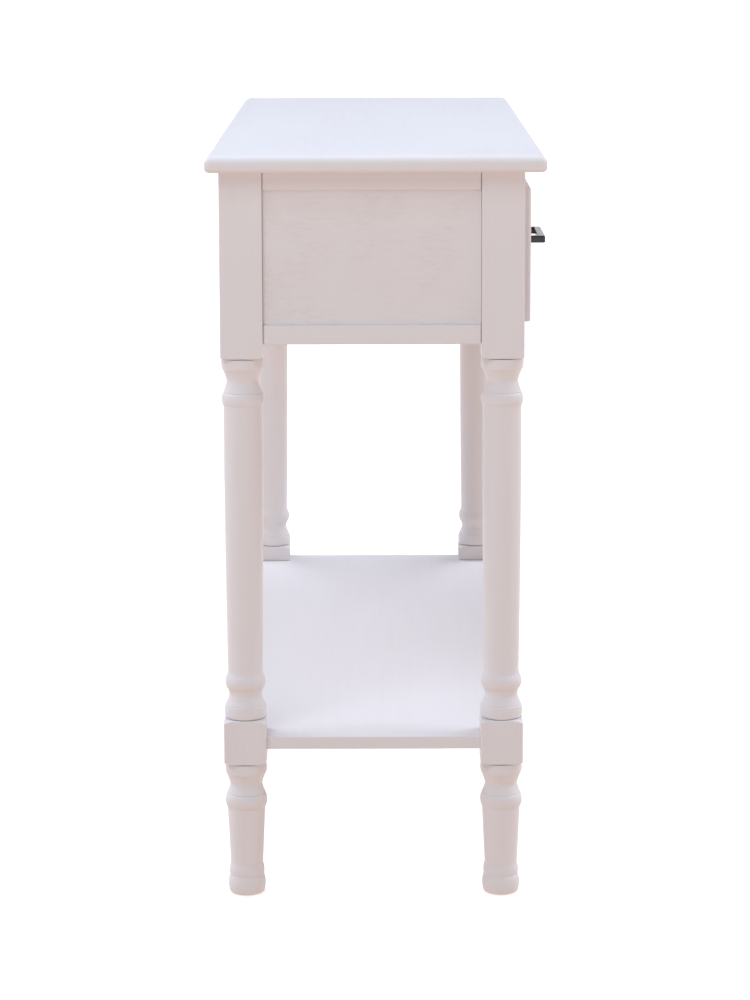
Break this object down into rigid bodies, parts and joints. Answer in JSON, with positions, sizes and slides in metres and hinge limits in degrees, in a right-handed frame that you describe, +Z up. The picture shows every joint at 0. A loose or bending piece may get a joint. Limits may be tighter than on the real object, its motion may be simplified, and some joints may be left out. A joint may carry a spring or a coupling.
{
  "type": "console table",
  "caption": "Narrow console table with a moulded top over drawers with bar pulls, panelled ends, turned legs and a low shelf.",
  "frame": {"origin": "on the floor, at the centre of the bounding box, pulls included", "axes": "+X along the length towards the right drawer as seen from the front, -Y towards a person who faces the drawers, +Z up"},
  "size_m": [1, 0.365, 0.8],
  "materials": {
    "white_paint": "satin white paint over wood",
    "bare_wood": "bare sanded pine",
    "plywood": "bare birch plywood",
    "pull_metal": "glossy dark bronze",
    "zinc_steel": "zinc-plated steel",
    "glide_plastic": "matt black nylon"
  },
  "bodies": {
    "table": {"table_top": "white_paint", "post_front_left": "white_paint", "post_front_right": "white_paint", "post_back_left": "white_paint", "post_back_right": "white_paint", "front_top_rail": "white_paint", "front_bottom_rail": "white_paint", "front_stile": "white_paint", "back_top_rail": "white_paint", "back_bottom_rail": "white_paint", "back_panel": "white_paint", "end_top_rail_left": "white_paint", "end_top_rail_right": "white_paint", "end_bottom_rail_left": "white_paint", "end_bottom_rail_right": "white_paint", "end_panel_left": "white_paint", "end_panel_right": "white_paint", "column_front_left": "white_paint", "column_front_right": "white_paint", "column_back_left": "white_paint", "column_back_right": "white_paint", "block_front_left": "white_paint", "block_front_right": "white_paint", "block_back_left": "white_paint", "block_back_right": "white_paint", "foot_front_left": "white_paint", "foot_front_right": "white_paint", "foot_back_left": "white_paint", "foot_back_right": "white_paint", "shelf": "white_paint", "centre_partition": "bare_wood", "centre_cleats": "bare_wood", "runner_end_left": "bare_wood", "runner_end_right": "bare_wood", "runner_centre_left": "bare_wood", "runner_centre_right": "bare_wood", "corner_braces": "bare_wood", "top_screws": "zinc_steel", "runner_screws": "zinc_steel", "upper_studs": "zinc_steel", "lower_studs": "zinc_steel", "foot_glides": "glide_plastic"},
    "drawer_left": {"drawer_left_front": "white_paint", "drawer_left_outer_side": "bare_wood", "drawer_left_inner_side": "bare_wood", "drawer_left_back": "bare_wood", "drawer_left_bottom": "plywood", "pull_left": "pull_metal", "pull_screws_left": "zinc_steel"},
    "drawer_right": {"drawer_right_front": "white_paint", "drawer_right_outer_side": "bare_wood", "drawer_right_inner_side": "bare_wood", "drawer_right_back": "bare_wood", "drawer_right_bottom": "plywood", "pull_right": "pull_metal", "pull_screws_right": "zinc_steel"}
  },
  "joints": [
    {"name": "drawer_left_slide", "type": "slide", "parent": "table", "child": "drawer_left", "axis": [0, -1, 0], "range_m": [0, 0.22]},
    {"name": "drawer_right_slide", "type": "slide", "parent": "table", "child": "drawer_right", "axis": [0, -1, 0], "range_m": [0, 0.22]}
  ]
}
